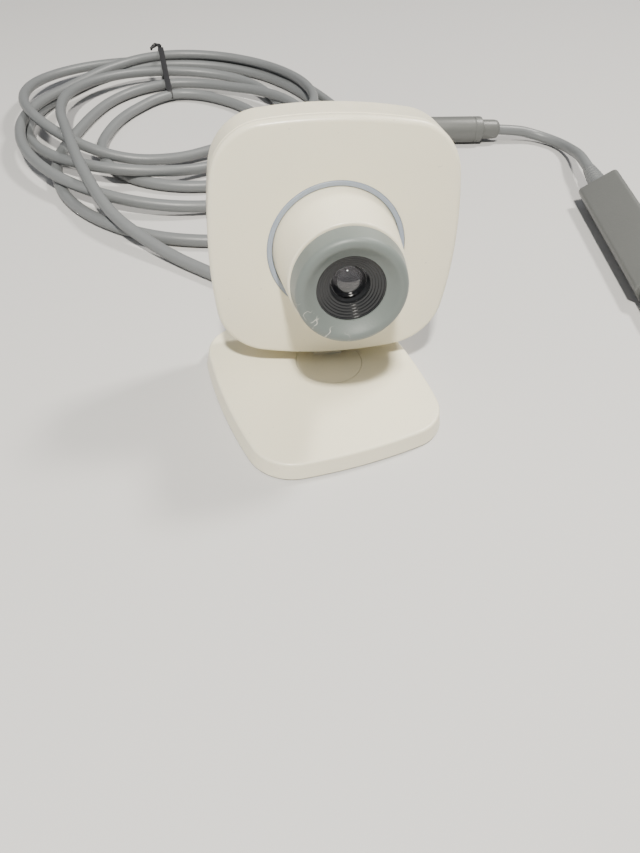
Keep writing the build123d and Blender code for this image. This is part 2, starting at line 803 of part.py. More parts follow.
with BuildPart() as focus_hub:
    with BuildSketch(NOSE_SECTION):
        add(
            turned(
                (bezel_radius, snap_bottom),
                (hub_radius, snap_bottom),
                (snap_radius, snap_bottom + snap_bite),
                (snap_radius, snap_top),
                (hub_radius, snap_top),
                (hub_radius, bezel_top),
                (bezel_radius, bezel_top),
            )
        )
    revolve(axis=nose_axis)
    with BuildSketch(head_plane(snap_bottom)):
        with PolarLocations((hub_radius + bezel_radius) / 2, 4, start_angle=45):
            Rectangle(2 * (hub_radius - bezel_radius), hub_slit)
    extrude(amount=bearing_length, mode=Mode.SUBTRACT)
    with BuildSketch(head_plane(key_bottom)):
        with PolarLocations((drive_key_inner + bezel_radius) / 2, 2):
            Rectangle(bezel_radius - drive_key_inner + ease, drive_key_width)
    extrude(amount=key_top - key_bottom)
keep(focus_hub, "focus_hub")

with BuildPart() as lens_bezel:
    eye_top = bezel_floor + bezel_eye_thickness
    step_width = (hole_radius - bezel_rim - bezel_eye_radius) / bezel_steps
    step_rise = (bezel_top - eye_top) / bezel_steps
    stairs = [
        (bezel_radius, bezel_floor),
        (bezel_eye_radius, bezel_floor),
        (bezel_eye_radius, eye_top),
    ]
    for step in range(bezel_steps):
        inner = bezel_eye_radius + step * step_width
        level = eye_top + step * step_rise
        stairs.append((inner + 0.75 * step_width, level))
        stairs.append((inner + step_width, level + step_rise))
    stairs.append((bezel_radius, bezel_top))
    with BuildSketch(NOSE_SECTION):
        add(turned(*stairs))
    revolve(axis=nose_axis)
keep(lens_bezel, "lens_bezel")

# ---- Lens barrel -------------------------------------------------------------------------------
with BuildPart() as lens_barrel:
    with BuildSketch(NOSE_SECTION):
        add(
            turned(
                (rear_lens_radius + thread_play, barrel_rear),
                (barrel_radius, barrel_rear),
                (barrel_radius, barrel_shoulder),
                (barrel_flange_radius, barrel_shoulder),
                (barrel_flange_radius, barrel_flange_top),
                (lens_radius + barrel_rim, barrel_flange_top),
                (lens_radius + barrel_rim, barrel_top),
                (lens_radius + thread_play, barrel_top),
                (lens_radius + thread_play, lens_seat),
                (aperture_radius, lens_seat),
                (aperture_radius, rear_lens_back + rear_lens_thickness),
                (rear_lens_radius + thread_play, rear_lens_back + rear_lens_thickness),
            )
        )
    revolve(axis=nose_axis)
    with BuildSketch(head_plane(barrel_shoulder)):
        with PolarLocations(barrel_flange_radius, 2):
            Rectangle(2 * (barrel_flange_radius - drive_key_inner + ease), drive_key_width + 2 * slip)
    extrude(amount=barrel_flange_top - barrel_shoulder, mode=Mode.SUBTRACT)
keep(lens_barrel, "lens_barrel")


def dome_drop(edge_radius, rise):
    """How far a dome has dropped from its top at half of its edge's radius."""
    sphere = (edge_radius**2 + rise**2) / (2 * rise)
    return sphere - sqrt(sphere**2 - (edge_radius / 2) ** 2)


with BuildPart() as front_lens:
    half_height = lens_apex - dome_drop(lens_dome_radius, lens_apex - lens_shoulder)
    with BuildSketch(NOSE_SECTION):
        with BuildLine():
            Polyline(
                (0, lens_apex),
                (0, lens_seat),
                (lens_radius, lens_seat),
                (lens_radius, lens_shoulder),
                (lens_dome_radius, lens_shoulder),
            )
            ThreePointArc(
                (lens_dome_radius, lens_shoulder),
                (lens_dome_radius / 2, half_height),
                (0, lens_apex),
            )
        make_face()
    revolve(axis=nose_axis)
keep(front_lens, "front_lens")

with BuildPart() as lens_retainer:
    with BuildSketch(NOSE_SECTION):
        add(
            turned(
                (retainer_inner, lens_shoulder),
                (lens_radius, lens_shoulder),
                (lens_radius, barrel_top),
                (retainer_inner + 0.5, barrel_top),
            )
        )
    revolve(axis=nose_axis)
keep(lens_retainer, "lens_retainer")

with BuildPart() as rear_lens:
    rear_apex = rear_lens_back - rear_lens_bulge
    rear_half_height = rear_apex + dome_drop(rear_lens_radius, rear_lens_bulge)
    with BuildSketch(NOSE_SECTION):
        with BuildLine():
            Polyline(
                (0, rear_apex),
                (0, rear_lens_back + rear_lens_thickness),
                (rear_lens_radius, rear_lens_back + rear_lens_thickness),
                (rear_lens_radius, rear_lens_back),
            )
            ThreePointArc(
                (rear_lens_radius, rear_lens_back),
                (rear_lens_radius / 2, rear_half_height),
                (0, rear_apex),
            )
        make_face()
    revolve(axis=nose_axis)
keep(rear_lens, "rear_lens")

# ---- Board and what is on it -------------------------------------------------------------------
board_back = board_front - board_thickness
with BuildPart() as sensor_board:
    with BuildSketch(head_plane(board_back)):
        RectangleRounded(board_width, board_tall, 1.5)
        with Locations(*board_posts):
            Circle(small_screw_radius + thread_play, mode=Mode.SUBTRACT)
    extrude(amount=board_thickness)
keep(sensor_board, "sensor_board")

board_screws = screws(board_posts, board_back, small_screw_radius, small_screw_head, 4.2, 1.0)
keep(board_screws, "board_screws")

filter_back = mount_base_top - filter_sink
with BuildPart() as lens_mount:
    with BuildSketch(head_plane(board_front)):
        RectangleRounded(mount_size, mount_size, 1.0)
    extrude(amount=mount_base_top - board_front)
    with BuildSketch(head_plane(mount_base_top)):
        Circle(mount_tube_radius)
    extrude(amount=mount_tube_top - mount_base_top)
    with BuildSketch(head_plane(board_front)):
        Rectangle(filter_size + 2 * slip, filter_size + 2 * slip)
    extrude(amount=filter_back + filter_thickness - board_front, mode=Mode.SUBTRACT)
    with BuildSketch(head_plane(board_front)):
        Circle(mount_window)
    extrude(amount=mount_tube_top - board_front, mode=Mode.SUBTRACT)
    with BuildSketch(head_plane(mount_base_top)):
        Circle(barrel_radius + slip)
    extrude(amount=mount_tube_top - mount_base_top, mode=Mode.SUBTRACT)
keep(lens_mount, "lens_mount")


def board_block(name, width, tall, thickness, x, y, front=True, rounding=0.2):
    """A component that sits on the board's front or back."""
    with BuildPart() as block:
        with BuildSketch(head_plane(board_front if front else board_back)):
            with Locations((x, y)):
                RectangleRounded(width, tall, rounding)
        extrude(amount=thickness if front else -thickness)
    keep(block, name)


board_block("image_sensor", sensor_size, sensor_size, sensor_thickness, 0, 0)
board_block("controller_chip", 9, 9, 1.0, -8, 3, front=False)
board_block("memory_chip", 5, 4, 1.2, 5, 6, front=False)
board_block("crystal", 4.6, 2.2, 1.4, 4, -1, front=False, rounding=1.0)

with BuildPart() as ir_filter:
    with BuildSketch(head_plane(filter_back)):
        Rectangle(filter_size, filter_size)
    extrude(amount=filter_thickness)
keep(ir_filter, "ir_filter")

with BuildPart() as ring_leds:
    with BuildSketch(head_plane(board_front)):
        with Locations((light_leg_radius, 0), (-light_leg_radius, 0)):
            Rectangle(1.6, 2.4)
    extrude(amount=led_height)
keep(ring_leds, "ring_leds")

socket_y = -9.0
socket_tall = 4.0
socket_depth = 3.4
with BuildPart() as wire_socket:
    with BuildSketch(head_plane(board_back)):
        with Locations((0, socket_y)):
            Rectangle(9, socket_tall)
    extrude(amount=-socket_depth)
keep(wire_socket, "wire_socket")

with BuildPart() as head_wires:
    wire_height = board_back - socket_depth / 2
    wire_top = socket_y - socket_tall / 2
    for x in (-3, -1, 1, 3):
        route = [
            SEAM.from_local_coords(Vector(x, wire_top, wire_height)),
            SEAM.from_local_coords(Vector(x, wire_top - 3.0, wire_height)),
            SEAM.from_local_coords(Vector(x * 0.5, wire_top - 7.2, wire_height - 2.6)),
        ]
        with BuildLine() as wire_line:
            FilletPolyline(*route, radius=3.0)
        with BuildSketch(Plane(origin=route[0], z_dir=wire_line.line % 0)):
            Circle(wire_radius)
        sweep(path=wire_line.wires()[0])
keep(head_wires, "head_wires")

# ---- Strain relief and the wires in the foot ---------------------------------------------------
relief_start = foot_depth / 2
relief_end = relief_start + relief_length
with BuildPart() as strain_relief:
    with BuildSketch(Plane.XZ.offset(-flange_front)):
        with Locations((gland_x, gland_z)):
            Rectangle(2 * gland_half_width, 2 * gland_half_height)
    extrude(amount=-(relief_start - flange_front))
    with BuildSketch(Plane.XZ.offset(-flange_front)):
        with Locations((gland_x, (plate_top + roof_under) / 2)):
            Rectangle(2 * gland_flange_half_width, roof_under - plate_top - 2 * slip)
    extrude(amount=-gland_flange_thickness)
    with BuildSketch(Plane.XZ.offset(-relief_start)):
        with Locations((gland_x, gland_z)):
            Ellipse(gland_half_width, gland_half_height)
    with BuildSketch(Plane.XZ.offset(-relief_end)):
        with Locations((gland_x, gland_z)):
            Circle(relief_end_radius)
    loft()
keep(strain_relief, "strain_relief")

wires_end = swivel_y + boss_radius + 1.5
with BuildPart() as foot_wires:
    for x in (-1.65, -0.55, 0.55, 1.65):
        with BuildSketch(Plane.XZ.offset(-wires_end)):
            with Locations((gland_x + x, (plate_top + roof_under) / 2)):
                Circle(wire_radius)
        extrude(amount=-(flange_front - wires_end))
keep(foot_wires, "foot_wires")

# ---- Cord, coil and tie ------------------------------------------------------------------------
ferrite_along = (Vector(*cord_tail_points[2]) - Vector(*cord_tail_points[1])).normalized()
ferrite_tip = Vector(*cord_tail_points[2]) - ferrite_along * (ferrite_gap + ferrite_collar_length)
plug_along = Vector(1, 0, 0).rotate(Axis.Z, plug_heading)
plug_level = plug_along.cross(up) * -1
plug_across = plug_level * cos(radians(plug_roll)) + up * sin(radians(plug_roll))
plug_through = plug_along.cross(plug_across)
plug_rear = (
    Vector(plug_corner[0], plug_corner[1], 0)
    + plug_across * (plug_width / 2)
    + plug_through * (plug_thickness / 2)
)
PLUG = Plane(origin=plug_rear, x_dir=plug_across, z_dir=plug_along)
plug_cord_end = plug_rear - plug_along * plug_relief_length
cord_tail_points += [tuple(plug_cord_end - plug_along * plug_straight), tuple(plug_cord_end)]


def bend_radii(points):
    """Each bend is as large as its two runs allow: 0.45 of the shorter one, over tan of half the turn."""
    radii = []
    for before, corner, after in zip(points, points[1:], points[2:]):
        arriving, leaving = corner - before, after - corner
        half_turn = radians(arriving.get_angle(leaving)) / 2
        radii.append(0.45 * min(arriving.length, leaving.length) / tan(half_turn))
    return radii


def cord_tube(name, corners):
    """A round cord along straight runs joined by arcs."""
    points = [Vector(*corner) for corner in corners]
    radii = bend_radii(points)
    with BuildPart() as tube:
        with BuildLine() as route:
            FilletPolyline(*points, radius=radii)
        with BuildSketch(Plane(origin=points[0], z_dir=points[1] - points[0])):
            Circle(cord_radius)
        sweep(path=route.wires()[0])
    length = route.wires()[0].length
    section = pi * cord_radius**2
    print(name, "length", round(length, 1), "volume ratio", round(tube.part.volume / (section * length), 4))
    print("  bend radii", [round(radius, 1) for radius in radii])
    keep(tube, name)


cord_tube("cord_from_foot", cord_from_foot_points)
cord_tube("cord_tail", cord_tail_points)

with BuildPart() as cord_coil:
    with BuildSketch(Plane.XY.offset(coil_bottom)):
        with Locations(coil_centre):
            Ellipse(coil_half_width, coil_half_depth)
        with Locations(coil_eye_centre):
            Ellipse(coil_eye_half_width, coil_eye_half_depth, mode=Mode.SUBTRACT)
    extrude(amount=coil_top - coil_bottom)
keep(cord_coil, "cord_coil")

band_front = coil_eye_centre[1] + coil_eye_half_depth - tie_slack
band_rear = coil_centre[1] + coil_half_depth + tie_slack
band_middle = (band_front + band_rear) / 2
with BuildPart() as coil_tie:
    with BuildSketch(Plane.YZ.offset(tie_x - tie_width / 2)):
        with Locations((band_middle, (coil_top + tie_slack) / 2 + tie_thickness / 2)):
            Rectangle(band_rear - band_front + 2 * tie_thickness, coil_top + tie_slack + tie_thickness)
        with Locations((band_middle, (coil_top + tie_slack + tie_thickness) / 2)):
            Rectangle(
                band_rear - band_front, coil_top + tie_slack - tie_thickness, mode=Mode.SUBTRACT
            )
    extrude(amount=tie_width)
keep(coil_tie, "coil_tie")

# ---- Ferrite sleeve ----------------------------------------------------------------------------
FERRITE_SECTION = Plane(origin=ferrite_tip, x_dir=ferrite_along, z_dir=ferrite_along.cross(up))
core_start = -ferrite_length + ferrite_end_wall
core_end = -ferrite_end_wall
cord_hole = cord_radius + slip
with BuildPart() as ferrite_sleeve:
    with BuildSketch(FERRITE_SECTION):
        add(
            turned(
                (-ferrite_length, cord_hole),
                (-ferrite_length, ferrite_radius - 1.2),
                (-ferrite_length + 1.2, ferrite_radius),
                (-0.8, ferrite_radius),
                (0, ferrite_radius - 0.8),
                (0, ferrite_collar_radius),
                (ferrite_collar_length - 1, ferrite_collar_radius - 0.3),
                (ferrite_collar_length, ferrite_collar_radius - 1.2),
                (ferrite_collar_length, cord_hole),
                (core_end, cord_hole),
                (core_end, ferrite_core_radius),
                (core_start, ferrite_core_radius),
                (core_start, cord_hole),
            )
        )
    revolve(axis=Axis(ferrite_tip, ferrite_along))
keep(ferrite_sleeve, "ferrite_sleeve")

with BuildPart() as ferrite_core:
    with BuildSketch(Plane(origin=ferrite_tip + ferrite_along * core_start, z_dir=ferrite_along)):
        Circle(ferrite_core_radius - thread_play)
        Circle(cord_hole, mode=Mode.SUBTRACT)
    extrude(amount=core_end - core_start)
keep(ferrite_core, "ferrite_core")

# ---- Plug --------------------------------------------------------------------------------------
usb_seat = plug_length - usb_depth
with BuildPart() as plug_body:
    with BuildSketch(PLUG):
        RectangleRounded(plug_width, plug_thickness, 1.6)
    extrude(amount=plug_length)
    fillet(plug_body.faces().sort_by(Axis(plug_rear, plug_along))[0].edges(), 1.0)
    fillet(plug_body.faces().sort_by(Axis(plug_rear, plug_along))[-1].edges(), 0.6)
    with BuildSketch(PLUG.offset(usb_seat)):
        Rectangle(usb_width + 2 * thread_play, usb_height + 2 * thread_play)
    extrude(amount=plug_length, mode=Mode.SUBTRACT)
keep(plug_body, "plug_body")

with BuildPart() as plug_relief:
    with BuildSketch(PLUG.offset(-plug_relief_length)):
        Circle(relief_end_radius)
    with BuildSketch(PLUG):
        Circle(plug_relief_radius)
    loft()
keep(plug_relief, "plug_relief")

usb_tip = plug_length + usb_length
USB_HOLES = Plane(
    origin=plug_rear + plug_along * (plug_length + usb_hole_place),
    x_dir=plug_across,
    z_dir=plug_through,
)
with BuildPart() as usb_shell:
    with BuildSketch(PLUG.offset(usb_seat)):
        Rectangle(usb_width, usb_height)
        Rectangle(usb_width - 2 * usb_wall, usb_height - 2 * usb_wall, mode=Mode.SUBTRACT)
    extrude(amount=usb_tip - usb_seat)
    with BuildSketch(PLUG.offset(usb_seat)):
        Rectangle(usb_width - usb_wall, usb_height - usb_wall)
    extrude(amount=usb_base)
    with BuildSketch(USB_HOLES):
        with Locations((usb_width / 4, 0), (-usb_width / 4, 0)):
            Rectangle(usb_hole, usb_hole)
    extrude(amount=usb_height, both=True, mode=Mode.SUBTRACT)
keep(usb_shell, "usb_shell")

tongue_seat = usb_seat + usb_base
usb_inside = usb_height / 2 - usb_wall
with BuildPart() as usb_tongue:
    with BuildSketch(PLUG.offset(tongue_seat)):
        with Locations((0, usb_inside - usb_tongue_thickness / 2)):
            Rectangle(usb_width - 2 * usb_wall, usb_tongue_thickness)
    extrude(amount=usb_tip - usb_tongue_setback - tongue_seat)
keep(usb_tongue, "usb_tongue")

with BuildPart() as usb_contacts:
    with BuildSketch(PLUG.offset(plug_length)):
        with Locations((0, usb_inside - usb_tongue_thickness - usb_contact_thickness / 2)):
            with Locations((-3.5, 0), (-1.2, 0), (1.2, 0), (3.5, 0)):
                Rectangle(usb_contact_width, usb_contact_thickness)
    extrude(amount=usb_length - 3 * usb_tongue_setback)
keep(usb_contacts, "usb_contacts")
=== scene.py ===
"""A desk web camera on its swivelling foot with its coiled cord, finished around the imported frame.

Metres, on the frame's own axes: the table is z = 0 and the foot's front faces -Y.
"""

import json
from math import cos, pi, radians, sin

import bpy
from mathutils import Matrix, Vector


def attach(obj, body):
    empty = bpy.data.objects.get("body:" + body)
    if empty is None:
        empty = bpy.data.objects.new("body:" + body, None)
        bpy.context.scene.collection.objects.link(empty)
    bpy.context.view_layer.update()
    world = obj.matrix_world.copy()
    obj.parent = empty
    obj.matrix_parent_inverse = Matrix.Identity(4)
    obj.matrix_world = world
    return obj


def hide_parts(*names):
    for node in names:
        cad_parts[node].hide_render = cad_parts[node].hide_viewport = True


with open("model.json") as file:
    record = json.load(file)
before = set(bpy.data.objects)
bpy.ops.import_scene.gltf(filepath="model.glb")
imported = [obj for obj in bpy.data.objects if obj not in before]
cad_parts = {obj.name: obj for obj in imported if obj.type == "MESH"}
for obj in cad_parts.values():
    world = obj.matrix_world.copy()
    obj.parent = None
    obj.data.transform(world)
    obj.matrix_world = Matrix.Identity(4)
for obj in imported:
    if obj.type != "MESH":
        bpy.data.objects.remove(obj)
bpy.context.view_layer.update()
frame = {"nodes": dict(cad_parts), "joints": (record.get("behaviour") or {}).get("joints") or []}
bpy.ops.object.select_all(action="DESELECT")

# ---- View --------------------------------------------------------------------------------------
# The viewpoint stands in front of the foot and to its left, a hand's breadth above the head, and
# looks down on the face.
view_place = (-0.06068, -0.13098, 0.13292)
view_heading = radians(-25.16)
view_down = radians(45.647)
view_roll = radians(4.086)
bpy.ops.object.camera_add()
view = bpy.context.object
view.matrix_world = (
    Matrix.Translation(view_place)
    @ Matrix.Rotation(view_heading, 4, "Z")
    @ Matrix.Rotation(pi / 2 - view_down, 4, "X")
    @ Matrix.Rotation(view_roll, 4, "Z")
)
view.data.lens = 29.855
view.data.clip_start = 0.005
bpy.context.scene.camera = view

# ---- USB cord ----------------------------------------------------------------------------------
# A round, soft PVC-jacketed lead, extruded in one length. It leaves the foot at the back, climbs on
# to its own coil of loose turns, and leaves the coil on the right for the ferrite and the plug.
cord_radius = 0.0021
from_foot = [
    (-0.0050, 0.0363, 0.00245),
    (-0.0050, 0.0446, 0.00245),
    (-0.0084, 0.0536, 0.00225),
    (-0.0146, 0.0619, 0.0022),
    (-0.0218, 0.0720, 0.0024),
    (-0.0294, 0.0834, 0.0042),
    (-0.0360, 0.0952, 0.0064),
    (-0.0394, 0.1060, 0.0086),
    (-0.0410, 0.1185, 0.0099),
    (-0.0422, 0.1315, 0.0109),
    (-0.0426, 0.1465, 0.0114),
    (-0.0425, 0.1625, 0.0113),
]
to_plug = [
    (0.0786, 0.1620, 0.0023),
    (0.0818, 0.1478, 0.0030),
    (0.0925, 0.1360, 0.0053),
    (0.1421, 0.1238, 0.0053),
    (0.1530, 0.1202, 0.0030),
    (0.1592, 0.1106, 0.0025),
    (0.1576, 0.0996, 0.0042),
    (0.1510, 0.0870, 0.00813),
    (0.14705, 0.0767, 0.00813),
]
# Each turn's reach from the middle of the coil's eye and its height, every eighth of a turn:
# rear left, rear, rear right, right, front right, front, front left, left. All in millimetres.
coil_eye = (0.012, 0.178)
coil_start = (54.6, 11.2)
turn_reaches = [
    (53, 52.5, 52, 42, 54, 63, 59, 35),
    (26, 28, 25, 28, 38, 46, 66, 70),
    (63, 66.5, 63.5, 60, 75, 105, 88, 49),
    (41, 41, 37, 45, 62, 79, 81, 72),
    (61, 67.5, 66, 58, 46, 34, 50, 66),
    (77, 71.5, 68.2, 66),
]
turn_heights = [
    (8.0, 4.5, 2.4, 2.3, 2.3, 2.3, 2.3, 2.3),
    (2.5, 2.9, 2.5, 2.3, 2.3, 2.3, 7.4, 3.6),
    (2.4, 2.9, 2.3, 2.3, 2.3, 2.3, 2.3, 2.3),
    (2.4, 2.9, 4.0, 6.2, 3.3, 2.3, 6.2, 7.5),
    (5.4, 6.9, 6.5, 7.6, 9.8, 3.5, 4.0, 11.3),
    (6.0, 3.0, 2.4, 2.4),
]


def with_halfway(numbers):
    """The numbers with a smoothly curved one put between each two."""
    smooth = []
    for index in range(len(numbers) - 1):
        before = numbers[max(index - 1, 0)]
        here, after = numbers[index], numbers[index + 1]
        beyond = numbers[min(index + 2, len(numbers) - 1)]
        smooth += [here, (9 * (here + after) - before - beyond) / 16]
    return smooth + [numbers[-1]]


reaches = with_halfway([coil_start[0]] + [reach for turn in turn_reaches for reach in turn])
heights = with_halfway([coil_start[1]] + [height for turn in turn_heights for height in turn])
turns = []
for index, (reach, height) in enumerate(zip(reaches, heights)):
    angle = pi - index * pi / 8
    turns.append(
        (
            coil_eye[0] + reach * cos(angle) / 1000,
            coil_eye[1] + reach * sin(angle) / 1000,
            height / 1000,
        )
    )
cord_route = from_foot + turns + to_plug

cord_line = bpy.data.curves.new("usb_cord", "CURVE")
cord_line.dimensions = "3D"
cord_line.resolution_u = 10
cord_spline = cord_line.splines.new("NURBS")
cord_spline.points.add(len(cord_route) - 1)
for spot, place in zip(cord_spline.points, cord_route):
    spot.co = (*place, 1)
cord_spline.order_u = 3
cord_spline.use_endpoint_u = True
usb_cord = bpy.data.objects.new("usb_cord", cord_line)
bpy.context.scene.collection.objects.link(usb_cord)
bpy.context.view_layer.update()
centreline = bpy.data.meshes.new_from_object(usb_cord)
cord_line.bevel_depth = cord_radius
cord_line.bevel_resolution = 5
cord_line.use_fill_caps = True


class Value:
    """One value in a material's nodes. The arithmetic operators on it add Math nodes."""

    def __init__(self, tree, socket):
        self.tree = tree
        self.socket = socket

    def node(self, kind, settings, inputs, output=0):
        """A node of that kind: its settings first, then the numbers or values of its sockets."""
        made = self.tree.nodes.new(kind)
        for name, setting in settings.items():
            if name == "stops":
                for place, colour in setting:
                    stop = made.color_ramp.elements.new(place)
                    stop.color = (*colour, 1)
                made.color_ramp.elements.remove(made.color_ramp.elements[0])
                made.color_ramp.elements.remove(made.color_ramp.elements[-1])
            else:
                setattr(made, name, setting)
        for name, given in inputs.items():
            if isinstance(given, Value):
                self.tree.links.new(given.socket, made.inputs[name])
            else:
                made.inputs[name].default_value = given
        return Value(self.tree, made.outputs[output])

    def math(self, operation, *numbers):
        return self.node("ShaderNodeMath", {"operation": operation}, dict(enumerate(numbers)))

    def __add__(self, other):
        return self.math("ADD", self, other)

    def __sub__(self, other):
        return self.math("SUBTRACT", self, other)

    def __rsub__(self, other):
        return self.math("SUBTRACT", other, self)

    def __mul__(self, other):
        return self.math("MULTIPLY", self, other)

    __radd__ = __add__
    __rmul__ = __mul__

    def noise(self, scale, detail=2.0):
        """Cloudy noise at this place, from 0 to 1, with this many cells to the metre."""
        return self.node(
            "ShaderNodeTexNoise", {}, {"Vector": self, "Scale": scale, "Detail": detail}
        )

    def ramp(self, low, high):
        """0 below low, 1 above high, and smooth between them."""
        return self.node(
            "ShaderNodeMapRange",
            {"interpolation_type": "SMOOTHSTEP"},
            {"Value": self, "From Min": low, "From Max": high},
        )

    def tint(self, dark, light):
        """A colour between two, as this value goes from 0 to 1."""
        return self.node(
            "ShaderNodeMix",
            {"data_type": "RGBA"},
            {"Factor": self, "A": (*dark, 1), "B": (*light, 1)},
            output=2,
        )

    def over(self, below, colour):
        """This colour's mask lays it over the one below."""
        return self.node(
            "ShaderNodeMix",
            {"data_type": "RGBA"},
            {"Factor": self, "A": below, "B": (*colour, 1)},
            output=2,
        )

    def height_along(self, direction, start):
        """How far this place lies from the start along a direction."""
        from_start = self.node(
            "ShaderNodeVectorMath", {"operation": "SUBTRACT"}, {0: self, 1: tuple(start)}
        )
        return from_start.node(
            "ShaderNodeVectorMath",
            {"operation": "DOT_PRODUCT"},
            {0: from_start, 1: tuple(direction)},
            output=1,
        )

    def bump(self, depth, strength=1.0):
        return self.node(
            "ShaderNodeBump", {}, {"Height": self, "Distance": depth, "Strength": strength}
        )

    def feed(self, shader, socket):
        self.tree.links.new(self.socket, shader.inputs[socket])


def start_finish(name, colour, roughness, **constants):
    """A new material with its constants set: the material, its shader and the place on the piece."""
    made = bpy.data.materials.new(name)
    made.use_nodes = True
    shader = made.node_tree.nodes["Principled BSDF"]
    shader.inputs["Base Color"].default_value = (*colour, 1)
    shader.inputs["Roughness"].default_value = roughness
    for socket, number in constants.items():
        shader.inputs[socket.replace("_", " ")].default_value = number
    coordinates = made.node_tree.nodes.new("ShaderNodeTexCoord")
    return made, shader, Value(made.node_tree, coordinates.outputs["Object"])


def shaded(colour, factor):
    return tuple(part * factor for part in colour)


def moulded(name, colour, roughness, grain, grain_depth, uneven=0.05, **constants):
    """Moulded plastic or rubber: faint clouding in the colour, a fine grain and patchy gloss."""
    made, shader, place = start_finish(name, colour, roughness, **constants)
    clouds = place.noise(55, detail=4.0)
    fine = place.noise(grain, detail=3.0)
    clouds.tint(shaded(colour, 1 - uneven), shaded(colour, 1 + uneven)).feed(shader, "Base Color")
    (clouds * 0.12 + fine * 0.06 + (roughness - 0.09)).feed(shader, "Roughness")
    fine.bump(grain_depth).feed(shader, "Normal")
    return made


cord_jacket = moulded("cord_jacket", (0.155, 0.163, 0.168), 0.42, 1500, 0.00004)
usb_cord.data.materials.append(cord_jacket)
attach(usb_cord, "foot")
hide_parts("cord_from_foot", "cord_coil", "cord_tail")

# ---- Twist tie ---------------------------------------------------------------------------------
# A flat plastic strip with a wire in it, laid round the turns at the back of the coil. Its ends are
# twisted together and stand up behind.
tie_place = (0.0122, 0.2275, 0)
tie_lean = radians(8.6)
tie_width = 0.0026
tie_thickness = 0.0005
tie_loop = [
    (-0.0244, 0.0004),
    (-0.0248, 0.0036),
    (-0.0228, 0.0056),
    (-0.0090, 0.0054),
    (0.0030, 0.0073),
    (0.0150, 0.0095),
    (0.0202, 0.0097),
    (0.0244, 0.0066),
    (0.0250, 0.0028),
    (0.0236, 0.0004),
]
tie_tail = [
    (0.0152, 0.2466, 0.0098),
    (0.0145, 0.2488, 0.0104),
    (0.0131, 0.2499, 0.0100),
    (0.0116, 0.2490, 0.0093),
    (0.0104, 0.2473, 0.0091),
]


def strap(name, flat, points, width, closed=False, twist=0.0):
    """A flat strip along the points: on edge in its own plane if flat, or twisting as it goes."""
    line = bpy.data.curves.new(name, "CURVE")
    line.dimensions = "2D" if flat else "3D"
    line.fill_mode = "NONE" if flat else "FULL"
    line.resolution_u = 6
    line.extrude = width / 2
    spline = line.splines.new("NURBS")
    spline.points.add(len(points) - 1)
    for index, (spot, place) in enumerate(zip(spline.points, points)):
        spot.co = (*place, 0, 1) if flat else (*place, 1)
        spot.tilt = twist * index
    spline.order_u = 3
    spline.use_cyclic_u = closed
    spline.use_endpoint_u = not closed
    strip = bpy.data.objects.new(name, line)
    bpy.context.scene.collection.objects.link(strip)
    strip.select_set(True)
    bpy.context.view_layer.objects.active = strip
    bpy.ops.object.convert(target="MESH")
    return bpy.context.object


def fix_in_place(piece, where=Matrix.Identity(4)):
    """Moves a finished piece there from its own axes and leaves its place in its mesh."""
    bpy.ops.object.select_all(action="DESELECT")
    piece.select_set(True)
    bpy.context.view_layer.objects.active = piece
    bpy.ops.object.transform_apply()
    piece.matrix_world = where
    bpy.ops.object.transform_apply()
    return piece


def modified(piece, kind, **settings):
    """Adds one modifier and applies it."""
    modifier = piece.modifiers.new(kind.lower(), kind)
    for name, setting in settings.items():
        setattr(modifier, name, setting)
    bpy.context.view_layer.objects.active = piece
    bpy.ops.object.modifier_apply(modifier=modifier.name)
    return piece


def smoothed(piece, angle=35):
    bpy.ops.object.select_all(action="DESELECT")
    piece.select_set(True)
    bpy.context.view_layer.objects.active = piece
    bpy.ops.object.shade_smooth_by_angle(angle=radians(angle))
    return piece


# the loop is drawn on its side, about its middle: its own axes become the part's Y, Z and X
on_edge = (
    Matrix.Translation(tie_place)
    @ Matrix.Rotation(-tie_lean, 4, "Z")
    @ Matrix(((0, 0, 1, 0), (1, 0, 0, 0), (0, 1, 0, 0), (0, 0, 0, 1)))
)
twist_tie = fix_in_place(strap("twist_tie", True, tie_loop, tie_width, closed=True), on_edge)
modified(twist_tie, "SOLIDIFY", thickness=tie_thickness, offset=0)
modified(twist_tie, "BEVEL", width=0.0002, segments=2)
tie_ends = fix_in_place(strap("twist_tie_ends", False, tie_tail, tie_width * 0.7, twist=radians(85)))
modified(tie_ends, "SOLIDIFY", thickness=2 * tie_thickness, offset=0)
modified(tie_ends, "BEVEL", width=0.0003, segments=2)
tie_plastic = moulded("tie_plastic", (0.022, 0.022, 0.024), 0.42, 900, 0.00008, uneven=0.3)
for strip in (twist_tie, tie_ends):
    smoothed(strip)
    strip.data.materials.append(tie_plastic)
    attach(strip, "foot")
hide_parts("coil_tie")

# ---- Strain relief at the foot -----------------------------------------------------------------
# A soft rubber sleeve moulded over the cord: a tapered tail with ring slots outside the foot, and a
# square gland that the foot's two halves clamp.
relief_start = 0.0298
relief_rings = 4


